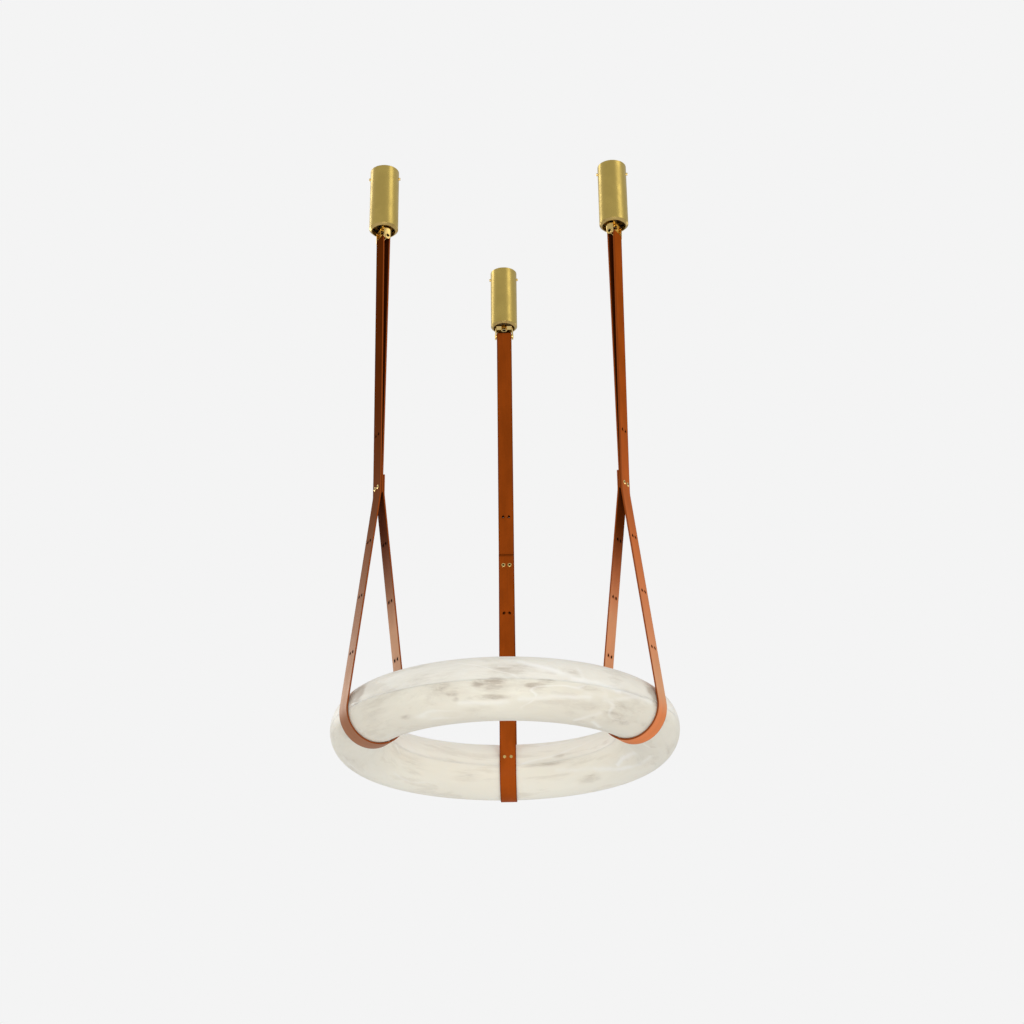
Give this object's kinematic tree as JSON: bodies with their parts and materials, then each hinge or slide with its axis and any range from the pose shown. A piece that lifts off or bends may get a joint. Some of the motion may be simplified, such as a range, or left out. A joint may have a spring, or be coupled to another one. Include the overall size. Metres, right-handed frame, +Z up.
{
  "type": "ring pendant light",
  "caption": "Ring pendant light: alabaster tube ring carried by leather strap loops that hang from brass cylinder canopies on the ceiling.",
  "frame": {"origin": "on the ceiling plane, above the middle of the ring and midway between the three ceiling studs", "axes": "+Z up to the ceiling, +Y from the ring's middle to the rear strap, +X to the right seen from the front"},
  "size_m": [0.8, 0.8044, 1.503],
  "materials": {
    "brushed_brass": "satin brushed, lacquered",
    "polished_brass": "polished",
    "zinc_steel": "zinc plated",
    "alabaster": "honed, faint cloudy veins",
    "tan_leather": "smooth vegetable tanned, burnished edges",
    "frame_aluminium": "mill finish",
    "light_strip": "diffusing silicone",
    "black_rubber": "moulded",
    "white_plastic": "moulded"
  },
  "bodies": {
    "ceiling_mounts": {"ceiling_plate_rear": "zinc_steel", "core_tube_rear": "zinc_steel", "closing_disc_rear": "polished_brass", "lock_nut_rear": "zinc_steel", "hanger_bolt_rear": "polished_brass", "ceiling_plate_left": "zinc_steel", "core_tube_left": "zinc_steel", "closing_disc_left": "polished_brass", "lock_nut_left": "zinc_steel", "hanger_bolt_left": "polished_brass", "ceiling_plate_right": "zinc_steel", "core_tube_right": "zinc_steel", "closing_disc_right": "polished_brass", "lock_nut_right": "zinc_steel", "hanger_bolt_right": "polished_brass", "led_driver": "white_plastic", "terminal_block": "white_plastic", "cable_grommet": "black_rubber"},
    "rear_cover": {"canopy_cover_rear": "brushed_brass", "canopy_rim_rear": "polished_brass", "cover_screws_rear": "polished_brass"},
    "rear_hanger": {"fork_rear": "polished_brass", "fork_pin_rear": "polished_brass", "strap_rear": "tan_leather", "joint_posts_rear": "polished_brass", "joint_screws_rear": "polished_brass", "loop_rivets_rear": "polished_brass"},
    "left_cover": {"canopy_cover_left": "brushed_brass", "canopy_rim_left": "polished_brass", "cover_screws_left": "polished_brass"},
    "left_hanger": {"fork_left": "polished_brass", "fork_pin_left": "polished_brass", "strap_left": "tan_leather", "joint_posts_left": "polished_brass", "joint_screws_left": "polished_brass", "loop_rivets_left": "polished_brass"},
    "right_cover": {"canopy_cover_right": "brushed_brass", "canopy_rim_right": "polished_brass", "cover_screws_right": "polished_brass"},
    "right_hanger": {"fork_right": "polished_brass", "fork_pin_right": "polished_brass", "strap_right": "tan_leather", "joint_posts_right": "polished_brass", "joint_screws_right": "polished_brass", "loop_rivets_right": "polished_brass"},
    "ring": {"alabaster_upper": "alabaster", "alabaster_lower": "alabaster", "light_frame": "frame_aluminium", "led_strip_upper": "light_strip", "led_strip_lower": "light_strip", "frame_brackets": "frame_aluminium", "frame_pads": "black_rubber", "inlet_bush": "polished_brass"}
  },
  "joints": [
    {"name": "pendant_sway", "type": "hinge", "parent": "ceiling_mounts", "child": "rear_hanger", "pos_m": [0, 0.332, -0.177], "axis": [1, 0, 0], "range_deg": [-2.5, 2.5]},
    {"name": "left_strap_sway", "type": "hinge", "parent": "ceiling_mounts", "child": "left_hanger", "pos_m": [-0.28752, -0.166, -0.177], "axis": [1, 0, 0], "range_deg": [-2.5, 2.5]},
    {"name": "right_strap_sway", "type": "hinge", "parent": "ceiling_mounts", "child": "right_hanger", "pos_m": [0.28752, -0.166, -0.177], "axis": [1, 0, 0], "range_deg": [-2.5, 2.5]},
    {"name": "ring_level", "type": "hinge", "parent": "rear_hanger", "child": "ring", "pos_m": [0, 0.332, -1.43], "axis": [1, 0, 0], "range_deg": [-2.5, 2.5]},
    {"name": "rear_cover_slide", "type": "slide", "parent": "ceiling_mounts", "child": "rear_cover", "axis": [0, 0, -1], "range_m": [0, 0.12]},
    {"name": "left_cover_slide", "type": "slide", "parent": "ceiling_mounts", "child": "left_cover", "axis": [0, 0, -1], "range_m": [0, 0.12]},
    {"name": "right_cover_slide", "type": "slide", "parent": "ceiling_mounts", "child": "right_cover", "axis": [0, 0, -1], "range_m": [0, 0.12]}
  ],
  "couplings": [
    {"joint": "left_strap_sway", "follows": "pendant_sway", "ratio": 1},
    {"joint": "right_strap_sway", "follows": "pendant_sway", "ratio": 1},
    {"joint": "ring_level", "follows": "pendant_sway", "ratio": -1}
  ]
}
